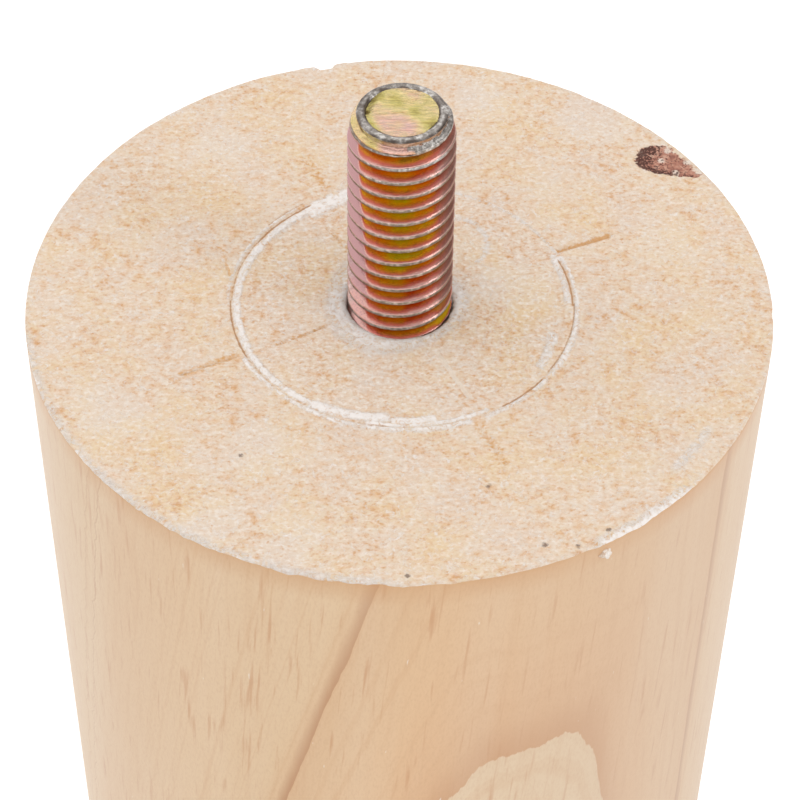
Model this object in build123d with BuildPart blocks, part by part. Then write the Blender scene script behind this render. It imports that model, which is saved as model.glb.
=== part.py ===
from build123d import *
import os

# A turned wooden table leg with a steel hanger bolt screwed into its top.
# Millimetres. The origin is the middle of the foot, on the floor, and +Z runs up the leg's axis.
# +X is to the right and +Y to the back, as one looks at the leg's front.

# Wooden leg: a plain cone that narrows evenly from its top to its foot
leg_length = 406.4
top_diameter = 68.0
foot_diameter = 53.0
foot_chamfer = 1.5
top_edge_break = 0.3

# Machine thread of the hanger bolt, 3/8 in with 16 threads to the inch
thread_diameter = 9.525
thread_pitch = 1.5875
stud_height = 22.6

# End of the stud: a chamfer up to a rolled rim, with a shallow dish inside it
end_chamfer_height = 1.2
rim_diameter = 8.1
rim_bevel = 0.12
dish_diameter = 7.3
dish_depth = 0.35

# Wood-screw end of the hanger bolt, hidden in the leg
shank_length = 10.0
neck_length = 1.1
wood_thread_diameter = 9.2
wood_core_diameter = 6.6
wood_thread_pitch = 3.63
wood_thread_turns = 5.0
crest_width = 0.35
root_width = 1.7
root_sink = 0.3
point_length = 8.0
point_diameter = 0.8

# Drilled hole in the leg: the wood lies close round the bolt and is broken out a little at the mouth
bore_clearance = 0.05
mouth_clearance = 0.25
mouth_depth = 1.0

# Marks that the lathe's drive centre left in the end grain: a scored ring and four pairs of spur cuts
ring_diameter = 31.4
ring_width = 0.5
ring_depth = 0.3
spur_count = 4
spur_angle = 25.0
spur_width = 0.8
spur_depth = 0.5
inner_cut_from = 7.6
inner_cut_length = 4.8
outer_cut_from = 16.8
outer_cut_length = 5.2

# Worked out from the sizes above
top_radius = top_diameter / 2
foot_radius = foot_diameter / 2
thread_radius = thread_diameter / 2
rim_radius = rim_diameter / 2
dish_radius = dish_diameter / 2
stud_top = leg_length + stud_height
# A rolled thread leaves the blank, and so the shank, at the thread's pitch diameter
pitch_line_drop = 0.6495
shank_radius = (thread_diameter - pitch_line_drop * thread_pitch) / 2
crest_radius = wood_thread_diameter / 2
core_radius = wood_core_diameter / 2
point_radius = point_diameter / 2
neck_top = leg_length - shank_length
core_top = neck_top - neck_length
core_bottom = core_top - (wood_thread_turns + 1) * wood_thread_pitch
bolt_bottom = core_bottom - point_length

os.makedirs("parts", exist_ok=True)


def buried_bolt(grow):
    """The part of the bolt below the wood's surface, with each face moved outwards by grow.

    The shank narrows at a short neck to the core of the wood screw, which ends in a point. One
    helical ridge runs round the core, with a half turn of bare core above and below it.
    """
    with BuildPart() as screw:
        with BuildSketch(Plane.XZ):
            with BuildLine():
                Polyline(
                    (0, leg_length),
                    (shank_radius + grow, leg_length),
                    (shank_radius + grow, neck_top),
                    (core_radius + grow, core_top),
                    (core_radius + grow, core_bottom),
                    (point_radius + grow, bolt_bottom - grow),
                    (0, bolt_bottom - grow),
                    close=True,
                )
            make_face()
        revolve(axis=Axis.Z)
        with BuildLine() as lead:
            Helix(
                pitch=wood_thread_pitch,
                height=wood_thread_turns * wood_thread_pitch,
                radius=core_radius - root_sink,
                center=(0, 0, core_bottom + wood_thread_pitch / 2),
            )
        start = lead.line @ 0
        ridge_height = crest_radius - core_radius + root_sink + grow
        with BuildSketch(Plane(origin=start, x_dir=(1, 0, 0), z_dir=lead.line % 0)):
            with BuildLine():
                Polyline(
                    (0, root_width / 2 + grow),
                    (ridge_height, crest_width / 2 + grow),
                    (ridge_height, -crest_width / 2 - grow),
                    (0, -root_width / 2 - grow),
                    close=True,
                )
            make_face()
        sweep(path=lead.line, is_frenet=True)
    return screw.part


# Hanger bolt: the stud above the wood, at the thread's outside diameter, and the buried wood screw
with BuildPart() as hanger_bolt:
    with BuildSketch(Plane.XZ):
        with BuildLine():
            Polyline(
                (0, leg_length),
                (thread_radius, leg_length),
                (thread_radius, stud_top - end_chamfer_height),
                (rim_radius, stud_top),
                (dish_radius, stud_top),
                (dish_radius - dish_depth, stud_top - dish_depth),
                (0, stud_top - dish_depth),
                close=True,
            )
        make_face()
    revolve(axis=Axis.Z)
    rim_edges = hanger_bolt.edges().filter_by(GeomType.CIRCLE).group_by(Axis.Z)[-1]
    chamfer(rim_edges, length=rim_bevel)
    add(buried_bolt(grow=0))
hanger_bolt.part.label = "hanger_bolt"
export_step(hanger_bolt.part, "parts/hanger_bolt.step")

# Wooden leg: turned cone, drive-centre marks in its top face, and the hole that the bolt sits in
with BuildPart() as wooden_leg:
    with BuildSketch(Plane.XZ):
        with BuildLine():
            Polyline(
                (0, 0),
                (foot_radius, 0),
                (top_radius, leg_length),
                (0, leg_length),
                close=True,
            )
        make_face()
    revolve(axis=Axis.Z)
    foot_edge = wooden_leg.edges().filter_by(GeomType.CIRCLE).sort_by(Axis.Z)[0]
    top_edge = wooden_leg.edges().filter_by(GeomType.CIRCLE).sort_by(Axis.Z)[-1]
    chamfer(foot_edge, length=foot_chamfer)
    chamfer(top_edge, length=top_edge_break)

    with BuildSketch(Plane.XY.offset(leg_length)):
        Circle(ring_diameter / 2 + ring_width / 2)
        Circle(ring_diameter / 2 - ring_width / 2, mode=Mode.SUBTRACT)
    extrude(amount=-ring_depth, mode=Mode.SUBTRACT)

    with BuildSketch(Plane.XY.offset(leg_length)):
        with PolarLocations(inner_cut_from + inner_cut_length / 2, spur_count, start_angle=spur_angle):
            SlotOverall(inner_cut_length, spur_width)
        with PolarLocations(outer_cut_from + outer_cut_length / 2, spur_count, start_angle=spur_angle):
            SlotOverall(outer_cut_length, spur_width)
    extrude(amount=-spur_depth, mode=Mode.SUBTRACT)

    with BuildSketch(Plane.XY.offset(leg_length)):
        Circle(thread_radius + mouth_clearance)
    extrude(amount=-mouth_depth, mode=Mode.SUBTRACT)
    add(buried_bolt(grow=bore_clearance), mode=Mode.SUBTRACT)
wooden_leg.part.label = "wooden_leg"
export_step(wooden_leg.part, "parts/wooden_leg.step")
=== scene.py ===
import bpy
import numpy as np
from mathutils import Matrix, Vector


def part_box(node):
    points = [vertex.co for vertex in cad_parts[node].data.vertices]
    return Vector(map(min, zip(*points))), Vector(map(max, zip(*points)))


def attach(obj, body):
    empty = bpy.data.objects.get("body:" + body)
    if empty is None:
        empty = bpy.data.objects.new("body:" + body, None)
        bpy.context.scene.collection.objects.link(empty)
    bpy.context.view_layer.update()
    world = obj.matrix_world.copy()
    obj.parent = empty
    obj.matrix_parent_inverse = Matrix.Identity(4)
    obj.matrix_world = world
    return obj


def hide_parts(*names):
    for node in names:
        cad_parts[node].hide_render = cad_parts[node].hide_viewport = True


# A turned wooden table leg, seen from above its bare end grain, with a yellow zinc-plated hanger bolt
# standing in it. The frame is in metres with +Z up the leg. Shapes below are worked out in millimetres
# from the leg's top: z is 0 in the plane of the end grain, and the leg hangs down from there.

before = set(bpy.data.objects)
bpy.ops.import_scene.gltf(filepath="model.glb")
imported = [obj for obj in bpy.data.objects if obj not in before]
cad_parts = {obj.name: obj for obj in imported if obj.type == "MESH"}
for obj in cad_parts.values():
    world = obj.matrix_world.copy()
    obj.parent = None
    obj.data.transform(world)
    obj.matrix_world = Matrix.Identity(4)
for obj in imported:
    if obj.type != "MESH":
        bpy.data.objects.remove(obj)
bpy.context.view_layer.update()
MM = 0.001
LEG_HIGH = np.array(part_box("wooden_leg")[1]) / MM
BOLT_LOW, BOLT_HIGH = (np.array(corner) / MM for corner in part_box("hanger_bolt"))

# Leg. The rim band is the height of side that follows the rim's uneven edge.
LEG_LENGTH = LEG_HIGH[2]
TOP_RADIUS = LEG_HIGH[0]
FOOT_RADIUS = 26.5
FOOT_CHAMFER = 1.5
RIM_BAND = 1.2
AROUND_LEG = 720

# Hanger bolt, 3/8 in with 16 threads to the inch. A crest passes the bolt's front at FRONT_CREST above the
# wood, and LOWER_WEAR is how much wider wear has made the crests downwards, as a share of the pitch.
STUD_HEIGHT = BOLT_HIGH[2] - LEG_LENGTH
BOLT_DEPTH = LEG_LENGTH - BOLT_LOW[2]
STUD_RADIUS = BOLT_HIGH[0]
THREAD_PITCH = 1.5875
FLANK_SLOPE = 1.732
FRONT_CREST = 1.03
LOWER_WEAR = 0.07
SHANK_RADIUS = 4.247
SHANK_LENGTH = 10.0
NECK_LENGTH = 1.1
WOOD_THREAD_PITCH = 3.63
WOOD_CREST = 4.6
WOOD_CORE = 3.3
POINT_LENGTH = 8.0
POINT_RADIUS = 0.4
AROUND_BOLT = 170

# End of the bolt, as distances below its tip: a steep wall down from the lip, a narrow ledge at the wall's
# foot, and the last turn, which the taper cuts down. The taper is a list of (distance, radius).
LIP_RADIUS = 4.0
FACE_RADIUS = 3.24
FACE_DROP = 0.1
POCKET_ANGLE = 166.0
WALL_DROP = 0.66
LEDGE_DROP = 0.80
END_TAPER = [(0.2, 3.97), (WALL_DROP, 3.99), (LEDGE_DROP, 4.42), (1.5, 4.50), (2.0, 4.64), (2.6, STUD_RADIUS)]

# Rolled lip, from its outside in to the face: (distance inside the lip's radius, rise above the tip, painted
# shade)
LIP_PROFILE = [
    (0.0, -0.19, 1.0), (0.01, -0.16, 1.0), (0.04, -0.125, 1.0), (0.09, -0.09, 0.95), (0.16, -0.055, 0.7),
    (0.25, -0.025, 0.3), (0.35, -0.005, 0.05), (0.46, 0.0, 0.05), (0.57, -0.015, 0.2), (0.66, -0.04, 0.6),
    (0.73, -0.075, 0.9), (LIP_RADIUS - FACE_RADIUS, -FACE_DROP, 1.0)]

# Hole in the end grain
MOUTH_RADIUS = STUD_RADIUS + 0.05
MOUTH_DEPTH = 1.0
MOUTH_DIP = 0.17
BORE_RADIUS = WOOD_CREST + 0.05

# Scored ring of the lathe's drive centre. A stretch of it is (from, to, radius, strength), with the
# angles in degrees round the ring's centre, counterclockwise from the right.
RING_CENTRE = (0.30, -0.27)
SCORED_STRETCHES = [
    (-180, -153, 15.68, 1.0), (-153, -139, 15.62, 0.5), (-126, -117, 15.60, 0.4), (-104, -94, 15.62, 0.6),
    (-82, -72, 15.74, 0.3), (-55, -38, 15.72, 1.0), (-33, 0, 15.60, 0.7), (0, 22, 15.46, 1.0),
    (26, 104, 15.50, 0.15), (125, 150, 15.55, 1.0), (126, 141, 16.15, 0.6), (150, 180, 15.60, 0.65)]

# Crushed white fibres beside the ring: (from, to, radius at each end, half width, strength)
CRUSHED_STRETCHES = [
    (-152, -68, 15.98, 15.98, 0.20, 0.75), (-180, -157, 15.15, 15.10, 0.30, 0.9),
    (-160, -120, 15.25, 15.20, 0.30, 0.85), (-121, -95, 15.20, 14.60, 0.46, 1.0),
    (-93, -79, 15.00, 14.90, 0.40, 0.9), (-101, -61, 15.48, 15.42, 0.20, 0.8),
    (-62, -30, 16.02, 15.98, 0.17, 0.65), (-33, -16, 14.70, 14.20, 0.40, 0.6),
    (-32, 1, 15.92, 15.86, 0.20, 0.8), (0, 24, 15.86, 15.86, 0.16, 0.75), (1, 24, 15.02, 15.05, 0.26, 0.6),
    (22.6, 24.8, 15.50, 15.50, 0.45, 0.7), (26, 104, 15.62, 15.60, 0.16, 0.4),
    (105, 127, 15.40, 14.75, 0.80, 1.0), (125, 180, 15.00, 15.12, 0.32, 0.9),
    (130, 180, 15.98, 15.98, 0.14, 0.55)]

# Cuts of the drive centre's spurs, along radii: (angle, from, to, half width, depth, golden tint, shift to
# the radius's left). A negative tint is pale. The last is a short slip beside the ring.
SPUR_CUTS = [
    (25.0, 16.2, 21.5, 0.26, 0.30, 1.0, 0.0), (-65.2, 16.9, 22.2, 0.30, 0.16, 0.45, 0.0),
    (-153.0, 16.3, 21.8, 0.20, 0.20, 0.6, 0.0), (115.5, 16.6, 21.5, 0.26, 0.10, 0.45, 0.0),
    (-151.5, 7.4, 12.6, 0.14, 0.14, 0.45, 0.0), (-62.8, 7.4, 13.4, 0.24, 0.12, -0.45, 0.0),
    (126.0, 8.1, 11.8, 0.18, 0.10, 0.3, 0.0), (103.9, 6.5, 10.3, 0.15, 0.06, 0.7, 14.46)]

# Pale curved scratches: (centre x, centre y, radius, from, to, half width, strength), with angles in degrees
PALE_SCRATCHES = [(4.6, 7.6, 3.5, -43, 82, 0.16, 0.6), (0.0, 0.0, 31.5, -39, -31, 0.22, 0.6)]

# Faded milky patches of the end grain: (x, y, radius). The last, right of the bolt, is also painted light
# over the shadow the bolt casts there.
MILKY_AND_LIT_PATCHES = [
    (-12.1, -19.2, 4.2), (19.2, 25.7, 5.2), (-17.4, 20.9, 3.4), (-9.0, -29.6, 3.8), (-16.3, -27.1, 4.4),
    (-25.5, -14.8, 4.6), (7.5, 28.0, 3.6), (24.5, 8.0, 3.0), (10.2, 1.5, 4.6)]

# Small dark dots in the end grain: (x, y)
DARK_DOTS = [
    (1.0, -33.0), (7.9, -22.8), (12.6, -29.4), (15.4, -29.5), (-13.6, -19.6), (18.0, -27.6), (14.0, -32.2)]

# Tuft of torn fibres on the rim
TUFT_PLACE = np.array([17.75, -28.96, -1.43])
TUFT_RADIUS = 0.5

# Bark knot at the back right of the end grain, as its left tip, its turn in degrees, its length and the
# places (x, y) of pale spots in it
KNOT_LEFT = (22.45, 20.3)
KNOT_TURN = -24.5
KNOT_LENGTH = 7.9
KNOT_SPOTS = [(24.80, 19.68), (25.50, 21.05), (26.15, 18.0), (27.3, 19.5)]


def linear(hex_colour):
    """The linear RGBA colour of an sRGB hex value such as #e5cdb4."""
    srgb = np.array([int(hex_colour[i:i + 2], 16) for i in (1, 3, 5)]) / 255
    low, high = srgb / 12.92, ((srgb + 0.055) / 1.055) ** 2.4
    return (*np.where(srgb <= 0.04045, low, high), 1.0)


def ease(low, high, x):
    """Rises smoothly from 0 at low to 1 at high, as 3t^2 - 2t^3."""
    t = np.clip((x - low) / (high - low), 0, 1)
    return t * t * (3 - 2 * t)


def lattice_noise(points, cell, seed):
    """Smooth random numbers from -1 to 1 at each point, in waves about one cell long.

    Each corner of a cubic lattice holds the fraction of a large sine of its indices, and a point
    takes the blend of its cell's eight corners, eased along each axis.
    """
    scaled = points / cell
    base = np.floor(scaled)
    t = scaled - base
    t = t * t * (3 - 2 * t)
    total = np.zeros(points.shape[:-1])
    for corner in np.ndindex(2, 2, 2):
        hashed = np.sin((base + corner) @ np.array([127.1, 311.7, 74.7]) + 57.3 * seed) * 43758.5453
        total += (2 * (hashed % 1) - 1) * np.prod(np.where(corner, t, 1 - t), axis=-1)
    return total


def turned_mesh(name, rings, first_pole, last_pole):
    """A closed mesh of rings round the Z axis, rings[row, column] = (x, y, z) in mm below the top.

    Neighbouring rings are joined by quads, the last column meets the first, and each end closes with
    a fan of triangles to its pole. Rings run so that the outside is on the left of their direction.
    """
    rows, columns = rings.shape[:2]
    vertices = np.concatenate([rings.reshape(-1, 3), [first_pole], [last_pole]])
    vertices[:, 2] += LEG_LENGTH
    row, column = np.mgrid[0:rows - 1, 0:columns]
    beside = (column + 1) % columns
    quads = np.stack([row * columns + column, row * columns + beside,
                      (row + 1) * columns + beside, (row + 1) * columns + column], axis=-1).reshape(-1, 4)
    around = np.arange(columns)
    onward = (around + 1) % columns
    first = np.stack([np.full(columns, rows * columns), onward, around], axis=-1)
    last_row = (rows - 1) * columns
    last = np.stack([np.full(columns, rows * columns + 1), last_row + around, last_row + onward], axis=-1)
    mesh = bpy.data.meshes.new(name)
    mesh.from_pydata((vertices * MM).tolist(), [], quads.tolist() + first.tolist() + last.tolist())
    mesh.shade_smooth()
    piece = bpy.data.objects.new(name, mesh)
    bpy.context.scene.collection.objects.link(piece)
    return piece


def polar(x, y, centre=(0, 0)):
    """The distance from a centre and the angle round it in degrees, from -180 to 180."""
    return np.hypot(x - centre[0], y - centre[1]), np.degrees(np.arctan2(y - centre[1], x - centre[0]))


def within(low, high, soft, value):
    """1 between low and high, falling smoothly to 0 over the width soft beyond each."""
    return ease(low - soft, low, value) * (1 - ease(high, high + soft, value))


def spur_cut(x, y, cut):
    """1 along the middle of a straight cut beside a radius, falling to 0 at its half width and its ends."""
    angle, start, end, half_width = cut[:4]
    along = x * np.cos(np.radians(angle)) + y * np.sin(np.radians(angle))
    across = y * np.cos(np.radians(angle)) - x * np.sin(np.radians(angle)) - cut[6]
    return within(start, end, 0.3, along) * (1 - ease(half_width * 0.5, half_width, np.abs(across)))


def knot(x, y):
    """The bark knot: 1 inside it and 0 outside, and how charred it is, from 0 to 1.

    It is a drop that is widest near its left tip and thins out to the rim. Along its length t from 0 to
    1 its half width is 5.6 t^0.5 (1 - t)^1.5 mm, a quarter wider above and less below. It is charred at
    its left end and along its lower edge. A strip of sound wood stays between it and the rim.
    """
    turn = np.radians(KNOT_TURN)
    along = ((x - KNOT_LEFT[0]) * np.cos(turn) + (y - KNOT_LEFT[1]) * np.sin(turn)) / KNOT_LENGTH
    across = (y - KNOT_LEFT[1]) * np.cos(turn) - (x - KNOT_LEFT[0]) * np.sin(turn)
    t = np.clip(along, 0, 1)
    half_width = 5.6 * t ** 0.5 * (1 - t) ** 1.5 * np.where(across > 0, 1.25, 0.85) + 0.12
    inside = ease(-0.2, 0.3, half_width - np.abs(across)) * within(0, 1, 0.02, along)
    inside *= 1 - ease(33.0, 33.45, np.hypot(x, y))
    charred = np.maximum(1 - ease(0.06, 0.32, along), 1 - ease(-0.6, 0.35, across + 0.5 * half_width))
    return inside, inside * charred


def scored_ring(x, y):
    """1 in the scored line, by how strong each stretch of the ring is."""
    radius, angle = polar(x, y, RING_CENTRE)
    scored = np.zeros_like(x)
    for start, end, place, strength in SCORED_STRETCHES:
        line = np.exp(-((radius - place) / 0.10) ** 2)
        scored = np.maximum(scored, strength * line * within(start, end, 1.5, angle))
    return scored


def crushed_fibres(x, y):
    """White fibres from 0 to 1: beside the ring, along the scratches, round the hole and on the front rim."""
    radius, angle = polar(x, y, RING_CENTRE)
    crushed = np.zeros_like(x)
    for start, end, first, last, half_width, strength in CRUSHED_STRETCHES:
        place = first + (last - first) * (angle - start) / (end - start)
        band = 1 - ease(half_width * 0.5, half_width * 1.5, np.abs(radius - place))
        crushed = np.maximum(crushed, strength * band * within(start, end, 1.2, angle))
    for place_x, place_y, size, start, end, half_width, strength in PALE_SCRATCHES:
        radius, angle = polar(x, y, (place_x, place_y))
        line = 1 - ease(half_width * 0.5, half_width * 1.5, np.abs(radius - size))
        crushed = np.maximum(crushed, strength * line * within(start, end, 3.0, angle))
    radius, angle = polar(x, y)
    reach = 2.1 + 0.8 * np.cos(np.radians(angle + 150)) + 0.5 * np.cos(np.radians(3 * angle))
    crushed = np.maximum(crushed, 0.85 * (1 - ease(0.1, 1.15, (radius - STUD_RADIUS) / reach)))
    at_rim = ease(33.45, 33.9, radius)
    front_left = within(-168, -95, 6, angle)
    front_right = within(-58, -44, 3, angle)
    return np.maximum(crushed, at_rim * (0.3 * front_left + 0.95 * front_right + 0.08))


def milky_and_lit(x, y):
    """Faded patches from 0 to 1, round and soft."""
    patches = np.zeros_like(x)
    # The last patch, right of the bolt, is painted light over the bolt's shadow as well as a faded patch
    for place_x, place_y, size in MILKY_AND_LIT_PATCHES:
        patches = np.maximum(patches, 1 - ease(0.35, 1.15, np.hypot(x - place_x, y - place_y) / size))
    return patches


def end_grain_height(x, y):
    """The end grain's relief in mm, as a sum of its parts.

    They are the sawn unevenness in waves of 0.4 to 3 mm, the scored ring, the burr of the crushed fibres,
    the spur cuts, the knot's pit and the dip at the mouth of the hole.
    """
    points = np.stack([x, y, np.zeros_like(x)], axis=-1)
    height = 0.035 * lattice_noise(points, 3.1, 1) + 0.03 * lattice_noise(points, 0.9, 2)
    height += 0.025 * lattice_noise(points, 0.4, 3)
    height -= 0.10 * scored_ring(x, y)
    height += crushed_fibres(x, y) * (0.05 + 0.05 * lattice_noise(points, 0.3, 9))
    for cut in SPUR_CUTS:
        height -= cut[4] * spur_cut(x, y, cut)
    height -= knot(x, y)[0] * (0.12 + 0.12 * lattice_noise(points, 0.35, 4))
    height -= MOUTH_DIP * (1 - ease(0.0, 0.6, polar(x, y)[0] - MOUTH_RADIUS))
    return height


def wooden_leg():
    """The turned leg: a closed surface whose rings follow its profile from the foot round to the bore.

    The profile is the flat foot, its chamfer, the cone up to the rim, the end grain in to the mouth of
    the hole, and the hole down to its end. The rim is broken by an uneven edge, and the end grain
    has its own relief.
    """
    angle = np.linspace(-np.pi, np.pi, AROUND_LEG, endpoint=False)
    unit = np.stack([np.cos(angle), np.sin(angle), np.zeros_like(angle)], axis=-1)
    degrees = np.degrees(angle)
    spot = unit * TOP_RADIUS

    frayed = within(-172, -88, 12, degrees) + 0.8 * within(-60, -40, 4, degrees)
    edge = 0.08 + 0.08 * np.abs(lattice_noise(spot, 1.3, 5))
    edge += (0.05 + 0.28 * frayed) * np.clip(lattice_noise(spot, 1.6, 6), 0, 1)
    edge += 0.2 * frayed * np.clip(lattice_noise(spot, 0.6, 7), 0, 1)
    notch = within(102.2, 104.0, 1.0, degrees) + 0.5 * within(-2.2, -1.2, 0.8, degrees)
    edge += 0.75 * notch

    def cone_radius(z):
        return FOOT_RADIUS + (TOP_RADIUS - FOOT_RADIUS) * (z + LEG_LENGTH) / LEG_LENGTH

    def ring(radius, z):
        return unit * (radius * level)[:, None] + np.array([0, 0, 1.0]) * (z * level)[:, None]

    level = np.ones_like(angle)
    rings = [ring(radius, -LEG_LENGTH) for radius in np.linspace(4, FOOT_RADIUS - FOOT_CHAMFER, 3)]
    rings += [ring(cone_radius(z), z) for z in np.linspace(FOOT_CHAMFER - LEG_LENGTH, -RIM_BAND, 14)]
    edge_heights = [-RIM_BAND + share * (RIM_BAND - edge) for share in (0.5, 1.0)]
    rings += [ring(cone_radius(z), z) for z in edge_heights]
    rim_top = TOP_RADIUS - 0.9 * edge
    rings += [ring((rim_top + cone_radius(-edge)) / 2 + 0.01, -0.35 * edge), ring(rim_top, 0)]
    first_of_top = len(rings) - 3

    inward = np.concatenate([
        np.linspace(33.0, 22.4, 26), np.linspace(22.1, 16.45, 17), np.linspace(16.35, 14.25, 31),
        np.linspace(13.9, 7.4, 19), np.linspace(7.2, MOUTH_RADIUS + 0.15, 14)])
    for radius in inward:
        flat = ring(radius, 0)
        flat[:, 2] = end_grain_height(flat[:, 0], flat[:, 1])
        rings.append(flat)
    torn = MOUTH_RADIUS + 0.05 * np.abs(lattice_noise(unit * MOUTH_RADIUS, 0.6, 8))
    torn += (0.15 + 0.17 * lattice_noise(unit * MOUTH_RADIUS, 0.35, 21)) * within(-62, -3, 5, degrees)
    torn += 0.02 * (within(160, 181, 8, degrees) + within(-181, -164, 5, degrees))
    rings += [ring(torn, -MOUTH_DIP - 0.04), ring(torn - 0.02, -MOUTH_DIP - 0.25)]
    rings.append(ring(MOUTH_RADIUS, -MOUTH_DEPTH))
    bottom = BOLT_DEPTH + 0.1
    rings += [ring(BORE_RADIUS, z) for z in (-MOUTH_DEPTH - 0.1, -0.5 * bottom, -bottom)]
    rings = np.array(rings)
    leg = turned_mesh("wooden_leg_turned", rings, (0, 0, -LEG_LENGTH), (0, 0, -bottom))

    # The end grain's faces, from the rim inwards, take the second material
    faces = len(leg.data.polygons)
    row_of_face = np.arange(faces) // AROUND_LEG
    on_top = (row_of_face >= first_of_top) & (row_of_face != len(rings) - 1)
    leg.data.materials.append(lacquered_hardwood())
    leg.data.materials.append(bare_end_grain())
    leg.data.polygons.foreach_set("material_index", on_top.astype(np.int32))

    # Marks of the end grain, for its material
    x, y = rings[..., 0].ravel(), rings[..., 1].ravel()
    near_top = rings[..., 2].ravel() > -1.5
    golden = np.zeros_like(x)
    for cut in SPUR_CUTS:
        tint_width = cut[3] * (2.6 if 0 < cut[5] < 0.7 else 1.3)
        golden += cut[5] * spur_cut(x, y, (*cut[:3], tint_width, *cut[4:]))
    store(leg, "marks", crushed_fibres(x, y) * near_top, scored_ring(x, y) * near_top, milky_and_lit(x, y) * near_top)
    bark, charred = knot(x, y)
    store(leg, "wounds", bark * near_top, golden * near_top, charred * near_top)
    return leg


def fibre_tuft():
    """A tuft of torn fibres on the rim at the front right: a half-sunk ball with a noisy radius.

    Its strands are about 0.3 mm apart, which is coarser than the real ones, so that they show.
    """
    turn, rise = np.meshgrid(np.linspace(-np.pi, np.pi, 48, endpoint=False), np.linspace(-1.48, 1.48, 30))
    up = np.array([0, 0, TUFT_RADIUS])
    unit = np.stack([np.cos(turn) * np.cos(rise), np.sin(turn) * np.cos(rise), np.sin(rise)], axis=-1)
    radius = TUFT_RADIUS * (1 + 0.35 * lattice_noise(unit, 0.55, 26) + 0.15 * lattice_noise(unit, 0.2, 28))
    tuft = turned_mesh("fibre_tuft", TUFT_PLACE + unit * radius[..., None], TUFT_PLACE - up, TUFT_PLACE + up)
    material, add = new_material("torn wood fibres")
    strands = add("TexNoise", place_in_wood(add), Scale=3.5, Detail=3.0, Distortion=1.0)
    colour = add("MixRGB", add("MapRange", strands, 0.4, 0.6), "#e2cdb8", "#f5ede5")
    add("OutputMaterial", add("BsdfPrincipled", Base_Color=colour, Roughness=0.9, Specular_IOR_Level=0.2))
    tuft.data.materials.append(material)
    return tuft


def store(piece, name, *channels):
    """Keeps three numbers for each vertex, and 0 for the two poles, as an attribute for a material."""
    attribute = piece.data.attributes.new(name, "FLOAT_VECTOR", "POINT")
    values = np.zeros((len(piece.data.vertices), 3), dtype=np.float32)
    values[:len(channels[0])] = np.stack(channels, axis=-1)
    attribute.data.foreach_set("vector", values.ravel())


def thread_phase(angle, z):
    """The height above the nearest crest of the machine thread, from -0.5 to 0.5, as a share of the pitch."""
    turn = (z - FRONT_CREST) / THREAD_PITCH - (angle + np.pi / 2) / (2 * np.pi)
    return (turn + 0.5) % 1 - 0.5


def thread_radius(angle, z):
    """The machine thread's radius: 60 degree flanks with rolled, rounded crests and roots, right-handed.

    The drop from the crest is the running sum of the flank's slope, which eases in and out. The crest is
    worn wider downwards, so the lower flank starts later and is a little steeper.
    """
    steps = np.linspace(0, 0.5, 101)
    slope = FLANK_SLOPE * ease(0.05, 0.165, steps) * (1 - ease(0.38, 0.5, steps))
    drop = np.cumsum(slope) * (steps[1] - steps[0]) * THREAD_PITCH
    phase = thread_phase(angle, z)
    from_crest = np.where(phase > 0, phase, np.clip(-phase - LOWER_WEAR, 0, 1) * 0.5 / (0.5 - LOWER_WEAR))
    return STUD_RADIUS - np.interp(from_crest, steps, drop)


def wood_screw_radius(angle, z):
    """The buried end's radius: shank, neck, and a coarse right-hand ridge round a core, down to a point."""
    turn = z / WOOD_THREAD_PITCH - angle / (2 * np.pi)
    off_crest = np.abs((turn + 0.5) % 1 - 0.5) * WOOD_THREAD_PITCH
    core_bottom = -(BOLT_DEPTH - POINT_LENGTH)
    core_top = -(SHANK_LENGTH + NECK_LENGTH)
    threaded = ease(core_bottom + 1.0, core_bottom + 2.4, z) * (1 - ease(core_top - 2.4, core_top - 1.0, z))
    ridge = (WOOD_CREST - WOOD_CORE) * (1 - np.clip((off_crest - 0.18) / 0.65, 0, 1)) * threaded
    core = WOOD_CORE + (SHANK_RADIUS - WOOD_CORE) * np.clip((z - core_top) / NECK_LENGTH, 0, 1)
    point = np.clip((z + BOLT_DEPTH) / POINT_LENGTH, 0, 1)
    return np.where(z < core_bottom, POINT_RADIUS + (WOOD_CORE - POINT_RADIUS) * point, core + ridge)


def end_sway(angle, z):
    """How far the steps of the bolt's end rise and fall round it in mm: smooth noise in waves of 2.6 mm."""
    skin = np.stack([np.cos(angle) * STUD_RADIUS, np.sin(angle) * STUD_RADIUS, z], axis=-1)
    return 0.10 * lattice_noise(skin, 2.6, 15)


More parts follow.
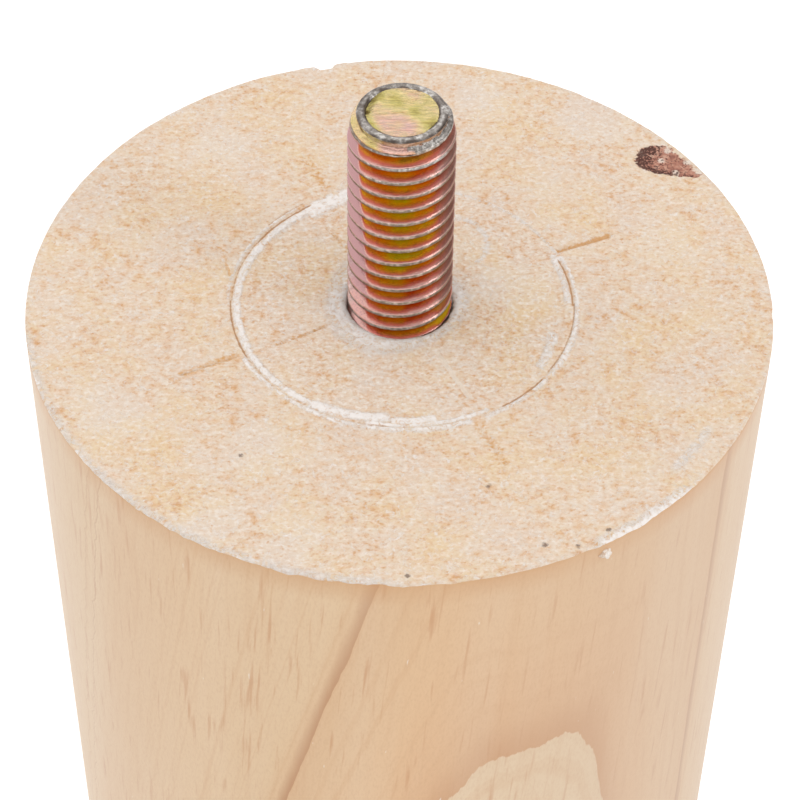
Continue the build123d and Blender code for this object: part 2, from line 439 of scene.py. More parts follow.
def hanger_bolt():
    """The hanger bolt: a radius for each angle and height, closed at its point and at its end.

    From the bottom: the wood screw and shank, the machine thread, whose last turn the end's taper cuts
    down, the ledge and the wall, the rolled lip, and the wrinkled face inside it with a deeper pocket at
    the left. Noise in waves of 0.2 to 0.9 mm roughens the worn steel.
    """
    angle = np.linspace(-np.pi, np.pi, AROUND_BOLT, endpoint=False)
    buried = np.concatenate([
        np.linspace(-BOLT_DEPTH, -BOLT_DEPTH + POINT_LENGTH, 8)[:-1],
        np.linspace(-BOLT_DEPTH + POINT_LENGTH, -SHANK_LENGTH, 60), [-5.0, -1.6]])
    exposed = np.linspace(-1.2, STUD_HEIGHT + LIP_PROFILE[0][1], 424)
    theta, height = np.meshgrid(angle, buried)
    low_radius = wood_screw_radius(theta, height)

    theta, height = np.meshgrid(angle, exposed)
    skin = np.stack([np.cos(theta) * STUD_RADIUS, np.sin(theta) * STUD_RADIUS, height], axis=-1)
    below_end = STUD_HEIGHT - height - end_sway(theta, height)
    taper = np.interp(below_end, *zip(*END_TAPER)) - 0.02 * np.abs(lattice_noise(skin, 0.35, 10))
    high_radius = np.minimum(thread_radius(theta, height), taper)
    high_radius += 0.014 * lattice_noise(skin, 0.5, 11) + 0.008 * lattice_noise(skin, 0.22, 22)
    high_radius = np.where(height < -0.9, SHANK_RADIUS, np.minimum(high_radius, STUD_RADIUS))
    rows = [np.stack([np.cos(angle) * r, np.sin(angle) * r, np.full_like(angle, z)], axis=-1)
            for z, r in [*zip(buried, low_radius), *zip(exposed, high_radius)]]
    first_of_lip = len(rows)

    lip = [(LIP_RADIUS - inset, rise) for inset, rise, painted_shade in LIP_PROFILE]
    face = [(FACE_RADIUS - step, -FACE_DROP) for step in np.linspace(0.07, FACE_RADIUS - 0.1, 34)]
    for radius, rise in lip + face:
        x, y = np.cos(angle) * radius, np.sin(angle) * radius
        around = np.stack([x, y, np.full_like(x, rise)], axis=-1)
        flat = around * np.array([1, 1, 0])
        z = np.full_like(x, STUD_HEIGHT + rise)
        away_from_pocket = np.abs((polar(x, y)[1] - POCKET_ANGLE + 180) % 360 - 180)
        pocket = (1 - ease(8, 36, away_from_pocket)) * ease(FACE_RADIUS - 0.8, FACE_RADIUS - 0.25, radius)
        z -= 0.24 * pocket * (radius < FACE_RADIUS + 0.05)
        if radius < FACE_RADIUS:
            wrinkled = around @ np.array([[0.40, 0.12, 0], [-0.16, 1.3, 0], [0, 0, 1]])
            z += 0.06 * lattice_noise(wrinkled, 0.6, 12) + 0.045 * lattice_noise(wrinkled, 0.27, 13)
        else:
            pushed = 1 + 0.022 * lattice_noise(flat, 0.8, 14) * (radius < LIP_RADIUS - 0.3) - 0.006
            x, y = x * pushed, y * pushed
            z -= 0.05 * np.abs(lattice_noise(flat, 0.9, 16)) + 0.04 * np.abs(lattice_noise(flat, 0.35, 23))
        rows.append(np.stack([x, y, z], axis=-1))
    rows = np.array(rows)
    bolt = turned_mesh("hanger_bolt_threaded", rows, (0, 0, -BOLT_DEPTH), (0, 0, STUD_HEIGHT - FACE_DROP))
    mark_plating(bolt, rows, first_of_lip)
    return bolt


def mark_plating(bolt, rows, first_of_lip):
    """Keeps, for the bolt's material, how its plating looks at each vertex.

    These are the film's thickness, the wear to bare silver, the end's own gold, painted shade in the creases
    and round the lip, and painted shade over the right side.
    Angles are in degrees, counterclockwise from the right, so the front is at -90. Heights are in mm above
    the wood, and a phase is the share of the pitch above a crest.
    """
    place = rows.reshape(-1, 3)
    degrees = polar(place[:, 0], place[:, 1])[1]
    turned_left = np.where(degrees > 90, degrees - 360, degrees)
    high = place[:, 2]
    row = np.arange(len(place)) // AROUND_BOLT
    on_end = row >= first_of_lip
    on_face = row >= first_of_lip + len(LIP_PROFILE)
    phase = thread_phase(np.radians(degrees), high)
    up_flank = np.clip(phase, 0, 0.5)
    from_end = STUD_HEIGHT - high - end_sway(np.radians(degrees), high)
    rough_edge = from_end + 0.07 * lattice_noise(place, 0.6, 20)
    neck = 1 - ease(WALL_DROP - 0.05, WALL_DROP + 0.02, from_end)
    ledge = within(WALL_DROP - 0.02, LEDGE_DROP + 0.24, 0.05, from_end)
    corner = within(LEDGE_DROP + 0.30, 1.36, 0.07, rough_edge)

    # Film: thicker near the wood, near the end and up each upper flank, and uneven in waves of 2 and 0.4 mm
    film = 0.11 + 0.06 * (1 - ease(3.0, 7.5, high)) + 0.14 * ease(16.0, 19.5, high)
    film += 0.48 * (1 - ease(0.11, 0.33, up_flank)) * (phase > 0)
    film += 0.12 * lattice_noise(place * np.array([1, 1, 0.6]), 2.4, 17)
    film += 0.05 * lattice_noise(place, 0.35, 18)

    # It is thicker at the right, low at the front right and at the left, and thinner on one turn at the front
    film += 0.2 * within(-38, 90, 20, degrees) * ease(0.5, 3.5, high)
    film += 0.2 * within(-76, -50, 14, degrees) * within(1.5, 7.5, 1.5, high)
    film += (0.04 + 0.13 * (1 - ease(7, 11, high))) * (1 - ease(-128, -108, turned_left))
    film += (0.10 - film) * within(-36, 20, 12, degrees) * (1 - ease(0.8, 2.2, high))
    film -= 0.16 * within(8.3, 9.6, 0.5, high) * within(-100, -70, 14, degrees)

    # A painted highlight, a pale edge just over each crest; the wall, and the olive left of the last turn
    film += (0.9 - film) * 0.9 * within(0.03, 0.12, 0.03, phase)
    film += (0.28 - film) * neck
    film += (0.05 - film) * ease(21.3, 21.6, high) * within(-200, -122, 12, turned_left)

    # A painted reflection of the left soft box: a mauve strip down the left, whose edge steps along each
    # flank
    strip_edge = -121 - np.clip(high - 9, 0, 12) - (44 + 2 * np.clip(high - 4, 0, 10)) * up_flank
    left_reflection = (1 - ease(-3.0, 3.0, turned_left - strip_edge)) * ease(-268, -235, turned_left)
    left_reflection *= 1 - 0.7 * ease(20.9, 21.6, high)
    film += (1.0 - 0.1 * (1 - ease(3, 5, high)) - film) * left_reflection
    film = np.where(on_end & ~on_face, 0.1, film)

    # Worn to silver: the crests, the last turn's corner and its flat at the front right, and the lip. At the
    # bottom of the left strip the silver greys, which dims the painted reflection there
    worn = within(-0.22, 0.035, 0.035, phase + 0.02 * lattice_noise(place, 0.5, 19)) * (high < 20.9)
    worn *= 1 - 0.45 * left_reflection
    flat_low = 20.95 + 0.6 * (1 - ease(-82, -55, degrees))
    flat = ease(flat_low, flat_low + 0.2, high)
    flat *= 1 - ease(22.0, 22.25, high + 0.2 * lattice_noise(place, 0.4, 24))
    flat *= within(-66, 25, 14, degrees + 16 * lattice_noise(place, 0.5, 21))
    dimmed_reflection = 0.42 * (1 - ease(-168, -146, turned_left)) * (1 - ease(3, 15, high)) * left_reflection
    worn = np.maximum.reduce([worn, corner, flat, 0.48 * neck, dimmed_reflection])
    worn = np.where(on_face, 0, np.where(on_end, 1, worn))
    gilded = np.maximum(on_face, 0.85 * ledge * (1 - flat))

    # Painted shade under the crests, in the roots, on the wall, at the last turn's corner and flat and round
    # the lip, and painted shade darkening the film at the right
    crease_shade = within(-0.15, -0.07, 0.05, phase) * (0.35 + 0.65 * (1 - ease(-140, -112, turned_left)))
    crease_shade = np.maximum(crease_shade, 0.42 * ease(0.26, 0.42, np.abs(phase))) * (high < 21.2)
    at_left = 1 - ease(-135, -112, turned_left)
    crease_shade = np.maximum(crease_shade, np.maximum(0.25 * neck, (0.35 + 0.4 * at_left) * corner * (1 - flat)))
    crease_shade = np.maximum(crease_shade, 0.5 * flat * ease(-40, -5, degrees))
    lip_painted_shade = [painted_shade for *_, painted_shade in LIP_PROFILE]
    lip_shade = np.interp(row - first_of_lip, np.arange(len(lip_painted_shade)), lip_painted_shade)
    # Painted shade on the lip: darker at the left beside the pocket and at the back
    lip_shade += 0.5 * (1 - ease(20, 70, np.abs((degrees - 165 + 180) % 360 - 180)))
    lip_shade += 0.25 * within(30, 120, 25, degrees)
    lip_shade *= 0.85 + 1.1 * lattice_noise(place, 0.8, 27)
    painted_shade = np.where(on_face, 0, np.where(on_end, np.clip(lip_shade, 0, 1), crease_shade))
    # Painted shade over the right side of the thread
    right_shade = (0.5 * ease(-46, -32, degrees) + 0.3 * ease(-32, -18, degrees)) * (1 - ease(60, 110, degrees))
    right_shade *= ease(0.8, 2.6, high) * (1 - ease(20.6, 21.4, high))
    store(bolt, "painted_shade", painted_shade, right_shade, 0 * right_shade)
    store(bolt, "plating", film, np.clip(worn, 0, 1), gilded)


def painter(material):
    """Gives the function that adds a node to this material's tree.

    add(kind, values in socket order, Socket_Name=value, setting=value, out=index) sets or links each
    input, sets each lower-case setting on the node, and returns the output socket asked for. The kind
    may be followed by its operation, as in "Math ADD", and a colour is a hex value.
    """
    tree = material.node_tree

    def add(kind, *values, out=0, stops=None, **named):
        kind, *operation = kind.split()
        made = tree.nodes.new("ShaderNode" + kind)
        if operation:
            made.operation = operation[0]
        for name, value in named.items():
            if name[0].islower():
                setattr(made, name, value)
        inputs = [(made.inputs[i], value) for i, value in enumerate(values)]
        inputs += [(made.inputs[name.replace("_", " ")], value) for name, value in named.items()
                   if name[0].isupper()]
        for socket, value in inputs:
            if isinstance(value, bpy.types.NodeSocket):
                tree.links.new(value, socket)
            elif value is not None:
                socket.default_value = linear(value) if isinstance(value, str) else value
        if stops:
            ramp = made.color_ramp.elements
            while len(ramp) < len(stops):
                ramp.new(1.0)
            for element, (place, colour) in zip(ramp, stops):
                element.position = place
                element.color = linear(colour)
        return made.outputs[out] if made.outputs else None

    return add


def new_material(name):
    """An empty node material with its painter."""
    material = bpy.data.materials.new(name)
    material.use_nodes = True
    material.node_tree.nodes.clear()
    return material, painter(material)


# The tree's pith: its place at the height of the top, and its shift for each mm of height. The fibres lean
# to the right by FIBRE_LEAN for each mm of height.
PITH = (-11.7, 22.3)
PITH_LEAN = (-0.0725, -0.0904)
FIBRE_LEAN = 0.07

# The arch of the last ring: its distance from the pith, how far below the top its flat head lies, how fast
# the cap on the distance falls with height, and the width of a ring's crisp edge
ARCH_DISTANCE = 59.94
ARCH_DEPTH = 25.7
ARCH_SLOPE = 0.06
RING_EDGE = 0.012

# Colour of the turned side by the distance from the pith in mm, as it changes smoothly through the rings
RING_COLOURS = [
    (32.0, "#e4cbb0"), (39.0, "#e6caa9"), (45.8, "#e4c6a0"), (46.9, "#e6c9a5"), (48.5, "#e3c19b"),
    (53.0, "#e5c5a0"), (56.6, "#e4c39b"), (57.2, "#deb78d"), (57.9, "#e2bd94"), (58.8, "#e4bd93"),
    (59.4, "#e2b88e"), (59.9, "#d9ab80"), (61.5, "#d9ab80")]

# Dark late wood, which deepens over its width and stops at a crisp line: (distance, width, colour, strength)
LATE_WOOD = [
    (45.82, 0.12, "#c39163", 0.55), (46.74, 0.12, "#bd8a5c", 0.6), (57.22, 0.30, "#ae7044", 0.7),
    (59.94, 0.30, "#bd8052", 0.35)]
PALE_RING = "#e6cba9"


# In the materials, a noise of scale s has grains about 1/s mm across. Drawn out along the leg by a share,
# they are 1/share times as long.


def place_in_wood(add):
    """The place in mm from the middle of the end grain."""
    in_mm = add("VectorMath MULTIPLY", add("TexCoord", out="Object"), (1000, 1000, 1000))
    return add("VectorMath SUBTRACT", in_mm, (0, 0, LEG_LENGTH))


def drawn_out(add, place, share):
    """The place with its height shrunk to a share, which draws a pattern out along the leg."""
    return add("VectorMath MULTIPLY", place, (1, 1, share))


def roughened(add, value, noise, amount):
    """The value plus an amount of a noise's swing about its middle, 0.5, which makes its edges ragged."""
    swing = add("Math SUBTRACT", noise, 0.5)
    return add("Math MULTIPLY_ADD", swing, amount, value)


def tinted(add, colour, value, low, high, strength, hue):
    """The colour, mixed with a hue by up to a strength as a value goes from low to high."""
    return add("MixRGB", add("MapRange", value, low, high, 0.0, strength), colour, hue)


def nearest(add, place, spots):
    """The distance in mm from a place to the nearest of the spots in the end grain, up to 9."""
    distance = 9.0
    for x, y in spots:
        gap = add("VectorMath DISTANCE", place, (x, y, 0), out="Value")
        distance = add("Math MINIMUM", distance, gap)
    return distance


def lacquered_hardwood():
    """Light close-grained hardwood, turned, sanded and sprayed with satin lacquer.

    Growth rings draw the arch and the long curves, vessel lines run along the fibres, and the lacquer
    gives a broad soft sheen. A ring is a band of the distance from a leaning pith, which noise makes
    waver. A cap that rises slowly down the leg limits the distance, and so flattens the arch's head.
    """
    material, add = new_material("satin lacquered hardwood")
    from_top = place_in_wood(add)
    rightward, height = (add("SeparateXYZ", from_top, out=axis) for axis in "XZ")

    lean = add("CombineXYZ", *(add("Math MULTIPLY", height, share) for share in PITH_LEAN))
    from_pith = add("VectorMath SUBTRACT", from_top, lean)
    from_pith = add("VectorMath SUBTRACT", from_pith, (*PITH, 0))
    from_pith = add("VectorMath MULTIPLY", from_pith, (1, 1, 0))
    distance = add("VectorMath LENGTH", from_pith, out="Value")

    # The rings waver in waves of 17 and 3 mm, and so does the cap. The arch's right shoulder is pushed out.
    wide_warp = add("TexNoise", drawn_out(add, from_top, 0.2), Scale=0.06, Detail=1.0)
    lobes = add("TexNoise", drawn_out(add, from_top, 0.22), Scale=0.3, Detail=4.0, Roughness=0.6)
    distance = roughened(add, roughened(add, distance, wide_warp, 0.03), lobes, 0.2)
    uneven = add("TexNoise", drawn_out(add, from_top, 0.1), Scale=0.3, Detail=3.0)
    cap = add("Math MULTIPLY_ADD", height, -ARCH_SLOPE, ARCH_DISTANCE - ARCH_SLOPE * ARCH_DEPTH)
    cap = roughened(add, cap, uneven, 0.19)
    distance = add("Math ADD", distance, add("MapRange", rightward, 14.0, 17.0, 0.0, 0.06))
    distance = add("Math SMOOTH_MIN", distance, cap, 0.03)

    # Teeth 0.7 mm wide and 7 mm long fray the rings' edges, and the lines at the left wave along the leg
    teeth = add("TexNoise", drawn_out(add, from_top, 0.09), Scale=1.5, Detail=3.0)
    distance = roughened(add, distance, teeth, 0.09)
    wave = add("TexNoise", None, add("Math MULTIPLY", height, 0.09), noise_dimensions="1D", Detail=2.0)
    wave_height = add("MapRange", rightward, -16.0, -30.0, 0.0, 0.9)
    distance = roughened(add, distance, wave, wave_height)

    first, last = RING_COLOURS[0][0], RING_COLOURS[-1][0]
    share = add("MapRange", distance, first, last)
    colour = add("ValToRGB", share, stops=[((at - first) / (last - first), hue) for at, hue in RING_COLOURS])
    for line, width, hue, strength in LATE_WOOD:
        deepening = add("MapRange", distance, line - width, line, 0.0, strength)
        stopping = add("MapRange", distance, line, line + RING_EDGE, 1.0, 0.0)
        colour = add("MixRGB", add("Math MULTIPLY", deepening, stopping), colour, hue)
    colour = tinted(add, colour, distance, ARCH_DISTANCE, ARCH_DISTANCE + RING_EDGE, 1.0, PALE_RING)

    # Pale bands 6 mm wide along the fibres, fine growth lines, and streaks 0.9 mm wide
    grain_lean = add("CombineXYZ", add("Math MULTIPLY", height, FIBRE_LEAN))
    fibre = add("VectorMath SUBTRACT", from_top, grain_lean)
    long_grain, short_grain = (drawn_out(add, fibre, share) for share in (0.06, 0.35))
    tone = add("TexNoise", long_grain, Scale=0.16, Detail=3.0)
    colour = tinted(add, colour, tone, 0.45, 0.72, 0.3, "#ebd3b6")
    ring_line = add("Math MULTIPLY", distance, 0.9)
    ring_line = add("TexNoise", None, ring_line, noise_dimensions="1D", Detail=4.0, Roughness=0.6)
    colour = tinted(add, colour, ring_line, 0.5, 0.75, 0.25, "#d3a274")
    streak = add("TexNoise", drawn_out(add, fibre, 0.03), Scale=1.1, Detail=5.0, Roughness=0.65)
    colour = tinted(add, colour, streak, 0.5, 0.72, 0.18, "#cf9c6e")

    # Vessel lines in loose clusters. Real ones are under 0.1 mm wide, too fine to show, so the dark ones
    # are drawn 0.5 mm wide and 8 mm long, and the pale ones 0.2 mm wide and 1 mm long.
    cluster = add("TexNoise", short_grain, Scale=0.11, Detail=2.0)
    vessel = add("TexNoise", long_grain, Scale=2.1, Detail=2.0, Roughness=0.45)
    vessel = add("Math MULTIPLY_ADD", cluster, 0.3, vessel)
    vessel_mask = add("MapRange", vessel, 0.765, 0.93, 0.0, 0.5)
    colour = add("MixRGB", vessel_mask, colour, "#c48657")
    pale_vessel = add("TexNoise", drawn_out(add, fibre, 0.2), Scale=4.6, Detail=0.0)
    colour = tinted(add, colour, pale_vessel, 0.87, 0.92, 0.7, "#f6ebe0")

    # Painted shade, greyer and darker, at the right and far left; more golden within 3 mm of the rim, with
    # sanding marks 0.2 mm wide
    side_shade = add("Math ADD", add("MapRange", rightward, 2.0, 24.0, 0.0, 0.38),
                 add("MapRange", rightward, -17.0, -31.0, 0.0, 0.3))
    colour = add("MixRGB", side_shade, colour, "#c6b09c")
    under_rim = add("Math MULTIPLY", add("MapRange", height, -3.0, -0.1, 0.0, 0.95), tone)
    colour = add("MixRGB", under_rim, colour, "#cd9560")
    sanded = add("TexNoise", short_grain, Scale=5.5, Detail=2.0)
    colour = tinted(add, colour, sanded, 0.45, 0.75, 0.22, "#c79a73")

    bump = add("Bump", Height=vessel_mask, Strength=0.3, Distance=-0.00004)
    shader = add("BsdfPrincipled", Base_Color=colour, Roughness=0.5, Normal=bump, Coat_Weight=0.15,
                 Coat_Roughness=0.3)
    add("OutputMaterial", shader)
    return material


def bare_end_grain():
    """The same hardwood's end grain, sawn and sanded but left bare, dull and a little dusty.

    Open vessels show as orange-brown specks in clusters, more broken up inside the drive centre's ring,
    with milky patches between them; the one right of the bolt is also painted light over the bolt's shadow.
    Crushed white fibres lie along that ring, round the bolt and on the rim, and the knot at the back right is
    bark, partly charred.
    """
    material, add = new_material("bare sanded end grain")
    from_top = place_in_wood(add)
    marks, wounds = (add("Attribute", attribute_name=name, out="Vector") for name in ("marks", "wounds"))
    crushed, scored, faded_and_lit = (add("SeparateXYZ", marks, out=axis) for axis in "XYZ")
    bark, gold, charred = (add("SeparateXYZ", wounds, out=axis) for axis in "XYZ")

    # The tone changes over 8 mm, and the specks' clusters over 4 mm
    hue = add("TexNoise", from_top, Scale=0.13, Detail=4.0, Roughness=0.6)
    colour = add("ValToRGB", hue, stops=[
        (0.34, "#e6d2c0"), (0.46, "#e9d6c2"), (0.55, "#ead4b9"), (0.68, "#ebd0aa")])
    rows = add("VectorMath MULTIPLY", from_top, (0.72, 0.92, 1))
    cluster = add("TexNoise", rows, Scale=0.24, Detail=5.0, Roughness=0.65)
    rich = add("Math ADD", add("MapRange", cluster, 0.36, 0.60, 0.0, 0.8), 0.3)
    # Specks fade in the milky patches; in the one right of the bolt this is painted light
    fading = add("MapRange", roughened(add, faded_and_lit, cluster, -1.5), 0.3, 0.75, 1.0, 0.12)
    rich = add("Math MULTIPLY", rich, fading)
    off_axis = add("VectorMath MULTIPLY", from_top, (1, 1, 0))
    off_axis = add("VectorMath LENGTH", off_axis, out="Value")
    broken_up = add("MapRange", off_axis, 17.0, 14.0, 1.0, 1.3)

    # Blotches of 0.8 mm, fine specks of 0.3 mm and pale flecks of 0.4 mm. Real vessels are under 0.1 mm wide,
    # too fine to show, so they are drawn coarser.
    speck = add("TexNoise", rows, Scale=1.3, Detail=3.0)
    blotch = add("Math MULTIPLY", add("MapRange", speck, 0.45, 0.70, 0.0, 0.85), rich)
    colour = add("MixRGB", blotch, colour, "#e2b07a")
    fine = add("TexNoise", rows, Scale=3.4, Detail=2.0)
    fine_share = add("Math MULTIPLY_ADD", rich, 0.8, 0.25)
    fine_mask = add("Math MULTIPLY", add("MapRange", fine, 0.44, 0.72, 0.0, 0.62), fine_share)
    fine_mask = add("Math MULTIPLY", fine_mask, broken_up, use_clamp=True)
    colour = add("MixRGB", fine_mask, colour, "#d8aa80")
    fleck = add("TexNoise", rows, Scale=2.6, Detail=4.0, Roughness=0.65)
    pale = add("MapRange", fleck, 0.47, 0.70, 0.0, 0.65)
    pale = add("Math MULTIPLY", pale, broken_up, use_clamp=True)
    colour = add("MixRGB", pale, colour, "#fbf4ec")
    core = add("Math ADD", add("Math ADD", speck, fine), cluster)
    colour = tinted(add, colour, core, 1.64, 1.90, 0.4, "#c98a52")
    dot = roughened(add, nearest(add, from_top, DARK_DOTS), fine, 0.8)
    colour = tinted(add, colour, dot, 0.3, 0.1, 0.7, "#5a3f38")

    # Spur cuts, golden or pale, then white fibres in hairs 0.7 mm apart, and the scored line over them
    colour = tinted(add, colour, roughened(add, gold, fine, 2.2), 0.22, 0.85, 0.75, "#dba566")
    colour = tinted(add, colour, gold, -0.1, -0.4, 0.7, "#f3e6d6")
    threads = add("TexNoise", from_top, Scale=1.5, Detail=5.0, Roughness=0.7, Distortion=1.5)
    hair = add("Math ABSOLUTE", add("Math SUBTRACT", threads, 0.5))
    near_crushed = add("MapRange", crushed, 0.03, 0.25)
    hair = add("Math MULTIPLY", add("MapRange", hair, 0.045, 0.0, 0.0, 0.95), near_crushed)
    white = add("MapRange", roughened(add, crushed, threads, 4.0), 0.2, 0.95, 0.0, 0.92)
    white = add("Math MAXIMUM", white, hair)
    colour = add("MixRGB", white, colour, "#f8f2ee")
    colour = tinted(add, colour, roughened(add, scored, fine, 1.0), 0.3, 0.75, 0.85, "#bf9068")

    # Knot: bark in patches of 0.7 mm, with pale spots and charred flakes of 0.2 mm
    in_bark = roughened(add, bark, fine, 1.6)
    char = add("TexNoise", from_top, Scale=1.5, Detail=3.0, Roughness=0.6)
    flakes = add("TexNoise", from_top, Scale=4.6, Detail=2.0, Roughness=0.6)
    bark_colour = add("ValToRGB", char, stops=[
        (0.34, "#9a6a5c"), (0.45, "#b67f6c"), (0.55, "#c48f7b"), (0.66, "#d4a994")])
    pale_spot = roughened(add, nearest(add, from_top, KNOT_SPOTS), flakes, 0.5)
    bark_colour = tinted(add, bark_colour, pale_spot, 0.42, 0.24, 0.9, "#ecd9ca")
    dotted = add("Math MULTIPLY_ADD", add("Math SUBTRACT", flakes, 0.47), 4.0, charred)
    bark_colour = tinted(add, bark_colour, dotted, 0.32, 0.8, 0.9, "#4e3430")
    colour = add("MixRGB", add("MapRange", in_bark, 0.35, 0.7), colour, bark_colour)

    relief = add("Math ADD", add("Math MULTIPLY", fine, 0.8), speck)
    relief = add("Math MULTIPLY_ADD", white, 0.4, relief)
    bump = add("Bump", Height=relief, Strength=0.6, Distance=0.00016)
    shader = add("BsdfPrincipled", Base_Color=colour, Roughness=0.9, Normal=bump, Specular_IOR_Level=0.2)
    add("OutputMaterial", shader)
    return material


def zinc_plated_steel():
    """Steel with yellow chromated zinc: bright plating under a thin olive, orange and pink film.

    The film is thinnest in the roots and thickest in the mauve strip at the left, which is a painted
    reflection of the left soft box. A pale film just over each crest is a painted highlight, and painted
    shade darkens the creases, the lip, the pocket and the right side. The crests, the lip and part of the
    last turn are rubbed through to silver grey, and the end's face is pale gold.
    """
    material, add = new_material("yellow zinc-plated steel")
    plating, painted_shading = (add("Attribute", attribute_name=name, out="Vector") for name in ("plating", "painted_shade"))
    film, worn, end = (add("SeparateXYZ", plating, out=axis) for axis in "XYZ")
    painted_shade, right_shade = (add("SeparateXYZ", painted_shading, out=axis) for axis in "XY")
    from_top = place_in_wood(add)
    rightward = add("SeparateXYZ", from_top)

    # Colour by film thickness, uneven in grains of 0.2 mm. Its pale pink stop colours the painted highlight
    # over the crests, and its mauve top stop the painted reflection at the left.
    grit = add("TexNoise", from_top, Scale=5.0, Detail=3.0, Roughness=0.7)
    colour = add("ValToRGB", roughened(add, film, grit, 0.25), stops=[
        (0.0, "#c5b92c"), (0.08, "#d6a91c"), (0.20, "#d8961e"), (0.36, "#cd763a"),
        (0.54, "#c86658"), (0.70, "#d08072"), (0.88, "#e4b2a8"), (0.97, "#c89a9a")])

    # The face and ledge: wrinkles 0.35 mm wide and 1.3 mm long, and a hue that changes over 2 mm. It shifts
    # at the face's left, in a band across it, outside the lip, in the pocket and at the right. The shift to
    # dark olive in the pocket is painted shade.
    wrinkled = add("VectorMath MULTIPLY", from_top, (0.35, 1.3, 1))
    wrinkle = add("TexNoise", wrinkled, Scale=2.2, Detail=5.0, Roughness=0.65, Distortion=0.8)
    across_band = add("VectorMath DOT_PRODUCT", from_top, (0.67, 0.74, 0), out="Value")
    band = add("Math ABSOLUTE", add("Math ADD", across_band, -0.62))
    flattened = add("VectorMath MULTIPLY", from_top, (1, 1, 0))
    off_axis = add("VectorMath LENGTH", flattened, out="Value")
    off_pocket = add("VectorMath DISTANCE", flattened, (-3.15, 0.1, 0), out="Value")
    at_left = add("Math MULTIPLY", add("MapRange", off_axis, 2.3, 3.0),
                  add("MapRange", rightward, -1.5, -2.5, 0.0, 0.25))
    hue = add("Math MULTIPLY_ADD", add("TexNoise", from_top, Scale=0.5, Detail=3.0), 0.7, 0.09)
    shifts = [
        at_left, add("MapRange", band, 1.4, 0.2, 0.0, 0.2), add("MapRange", off_axis, 3.5, 3.9, 0.0, -0.12),
        add("MapRange", off_pocket, 0.5, 0.15, 0.0, 0.45), add("MapRange", rightward, 0.6, 2.6, 0.0, 0.12)]
    for shift in shifts:
        hue = add("Math ADD", hue, shift)
    end_colour = add("ValToRGB", hue, stops=[
        (0.32, "#fcd2c4"), (0.45, "#fbd8b4"), (0.57, "#f8e2a6"), (0.70, "#e4d484"),
        (0.95, "#7d6630")])
    colour = add("MixRGB", end, colour, end_colour)

    # Bare silver, scuffed in marks of 0.4 mm, then painted shade over it all: at the right, in the creases
    # and round the lip
    scuffed = add("TexNoise", from_top, Scale=2.6, Detail=4.0, Roughness=0.6)
    silver = add("ValToRGB", scuffed, stops=[
        (0.35, "#8a837d"), (0.5, "#b1aaa4"), (0.65, "#e6e1dc")])
    colour = add("MixRGB", add("MapRange", worn, 0.25, 0.7), colour, silver)
    colour = add("MixRGB", right_shade, colour, "#94695a")
    colour = tinted(add, colour, painted_shade, 0.0, 1.0, 0.75, "#4c3a30")
    roughness = add("MapRange", worn, 0.0, 1.0, 0.19, 0.24)
    relief = add("Math MULTIPLY", add("Math MULTIPLY", wrinkle, 1.7), end)
    relief = add("Math MULTIPLY_ADD", grit, 0.14, relief)
    relief = add("Math MULTIPLY_ADD", add("Math MULTIPLY", scuffed, worn), 0.4, relief)
    bump = add("Bump", Height=relief, Strength=0.7, Distance=0.00028)
    shader = add("BsdfPrincipled", Base_Color=colour, Metallic=1.0, Roughness=roughness, Normal=bump)
    add("OutputMaterial", shader)
    return material


# Light levels, where 1 renders white: the sky of light, the ceiling and the dimmer walls in front and at
# the right as reflections show them, and the floor's own glow. A soft box that shows in reflections gives
# only DIFFUSE_SHARE of its light to dull surfaces. The floor reaches FLOOR_HALF metres each way.
AMBIENT = 0.92
CEILING = 0.70
FRONT_WALL = 0.36
RIGHT_WALL = 0.42
FLOOR_GLOW = 0.35
DIFFUSE_SHARE = 0.5
FLOOR_HALF = 3.0


def standing_at(place, right, up, back):
    """The matrix of a lamp or camera at a place that looks along -back, with right and up as its axes."""
    return Matrix([*np.column_stack([right, up, back, place]).tolist(), [0, 0, 0, 1]])


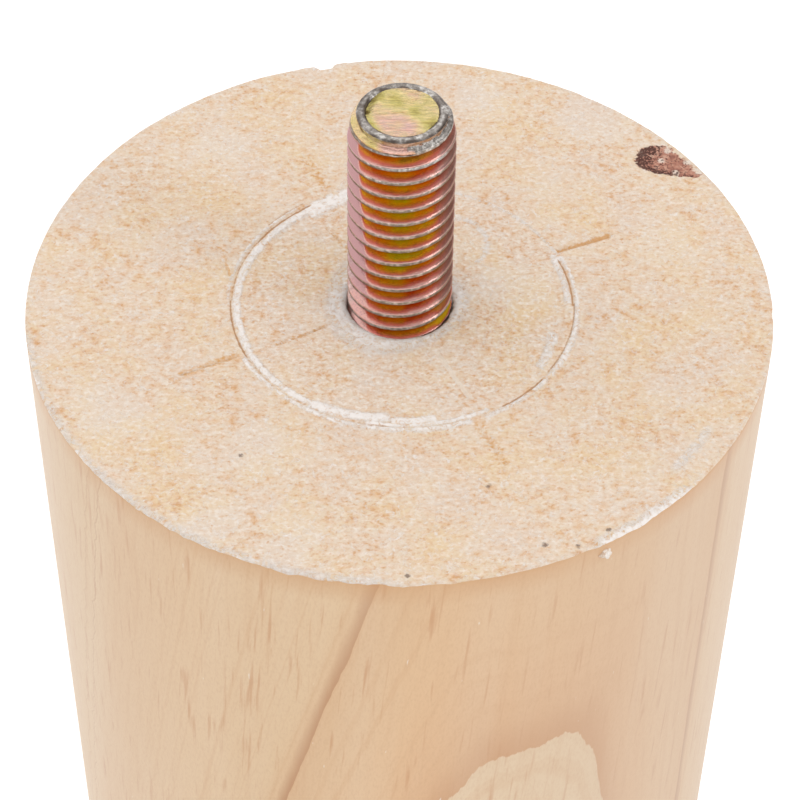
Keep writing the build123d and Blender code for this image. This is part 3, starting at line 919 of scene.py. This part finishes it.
def studio():
    """A white floor and surround, an even sky of light, a soft box at the left and a weaker one at the right.

    What shines shows the white surround up to a dimmer ceiling.
    """
    scene = bpy.context.scene
    world = bpy.data.worlds.new("white studio")
    scene.world = world
    world.use_nodes = True
    world.node_tree.nodes.clear()
    add = painter(world)
    direction = add("TexCoord", out="Generated")
    rightward, backward, upward = (add("SeparateXYZ", direction, out=axis) for axis in "XYZ")
    walls = [
        (CEILING, [(upward, 0.76, 0.88), (backward, -0.05, -0.18)]),
        (FRONT_WALL, [(backward, -0.30, -0.45), (upward, 0.40, 0.55), (upward, 0.86, 0.76)]),
        (RIGHT_WALL, [(rightward, 0.48, 0.66), (upward, 0.10, 0.28)])]
    surround = (1, 1, 1, 1)
    for level, limits in walls:
        mask = 1.0
        for way, start, full in limits:
            mask = add("Math MULTIPLY", mask, add("MapRange", way, start, full))
        surround = add("MixRGB", mask, surround, (level, level, level, 1))
    seen = add("Math MAXIMUM", add("LightPath"), add("LightPath", out="Is Glossy Ray"))
    seen = add("Math MAXIMUM", seen, add("LightPath", out="Is Transmission Ray"))
    strength = add("MixRGB", seen, (AMBIENT, AMBIENT, AMBIENT, 1), surround)
    add("OutputWorld", add("Background", "#ffffff", strength))

    floor_mesh = bpy.data.meshes.new("floor")
    corners = [(x * FLOOR_HALF, y * FLOOR_HALF, 0) for x, y in ((-1, -1), (1, -1), (1, 1), (-1, 1))]
    floor_mesh.from_pydata(corners, [], [(0, 1, 2, 3)])
    floor = bpy.data.objects.new("floor", floor_mesh)
    scene.collection.objects.link(floor)
    material, add = new_material("white studio floor")
    seen = add("Math MAXIMUM", add("LightPath"), add("LightPath", out="Is Glossy Ray"))
    glow = add("Emission", "#ffffff", add("Math MULTIPLY", seen, FLOOR_GLOW))
    add("OutputMaterial", add("AddShader", add("BsdfDiffuse", "#eeeeee"), glow))
    floor_mesh.materials.append(material)

    def soft_box(name, place, aim, size, power, mirrored):
        lamp = bpy.data.lights.new(name, "AREA")
        lamp.shape = "RECTANGLE"
        lamp.size, lamp.size_y = size
        lamp.energy = power
        box = bpy.data.objects.new(name, lamp)
        away = np.array(place) - np.array(aim)
        away = away / np.linalg.norm(away)
        across = np.cross((0, 0, 1), away)
        across = across / np.linalg.norm(across)
        box.matrix_world = standing_at(place, across, np.cross(away, across), away)
        box.visible_glossy = mirrored
        lamp.diffuse_factor = DIFFUSE_SHARE if mirrored else 1.0
        scene.collection.objects.link(box)

    top = (0, 0, LEG_LENGTH * MM)
    # The left soft box doesn't show in reflections; the bolt's mauve strip is painted in its place.
    soft_box("left soft box", (-0.95, 0.35, 0.85), top, (1.0, 0.75), 2.0, False)
    soft_box("right soft box", (0.81, -0.41, 0.83), top, (0.22, 0.6), 1.4, True)


# The camera of the photograph, from its outlines: distance and height above the end grain's middle
# in top radii and degrees, then small turns of its axis, and its focal length in pixels of 800
CAMERA_DISTANCE = 8.2 * 34.0
CAMERA_ELEVATION = 44.23
CAMERA_PAN, CAMERA_TILT, CAMERA_ROLL = -0.034, -1.875, -0.814
FOCAL_PIXELS = 3057
PICTURE_PIXELS = 800


def turned(vector, axis, degrees):
    """The vector turned about a unit axis by that many degrees."""
    turn = np.radians(degrees)
    along = axis * (axis @ vector)
    return vector * np.cos(turn) + np.cross(axis, vector) * np.sin(turn) + along * (1 - np.cos(turn))


def camera():
    """The camera at the photograph's place, aimed at the end grain's middle, then turned a little."""
    rise = np.radians(CAMERA_ELEVATION)
    away = np.array([0, -np.cos(rise), np.sin(rise)])
    ahead, right = -away, np.array([1.0, 0, 0])
    up = np.cross(right, ahead)
    ahead, right = turned(ahead, up, CAMERA_PAN), turned(right, up, CAMERA_PAN)
    ahead, up = turned(ahead, right, CAMERA_TILT), turned(up, right, CAMERA_TILT)
    right, up = turned(right, ahead, CAMERA_ROLL), turned(up, ahead, CAMERA_ROLL)
    place = (away * CAMERA_DISTANCE + np.array([0, 0, LEG_LENGTH])) * MM
    lens = bpy.data.cameras.new("camera")
    lens.sensor_width = 36.0
    lens.lens = FOCAL_PIXELS / PICTURE_PIXELS * lens.sensor_width
    lens.clip_start = 0.01
    view = bpy.data.objects.new("camera", lens)
    view.matrix_world = standing_at(place, right, up, -ahead)
    bpy.context.scene.collection.objects.link(view)
    bpy.context.scene.camera = view


camera()
studio()

leg = wooden_leg()
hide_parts("wooden_leg")
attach(leg, "root")

tuft = fibre_tuft()
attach(tuft, "root")

bolt = hanger_bolt()
bolt.data.materials.append(zinc_plated_steel())
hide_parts("hanger_bolt")
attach(bolt, "root")

bpy.context.scene.view_settings.view_transform = "Standard"
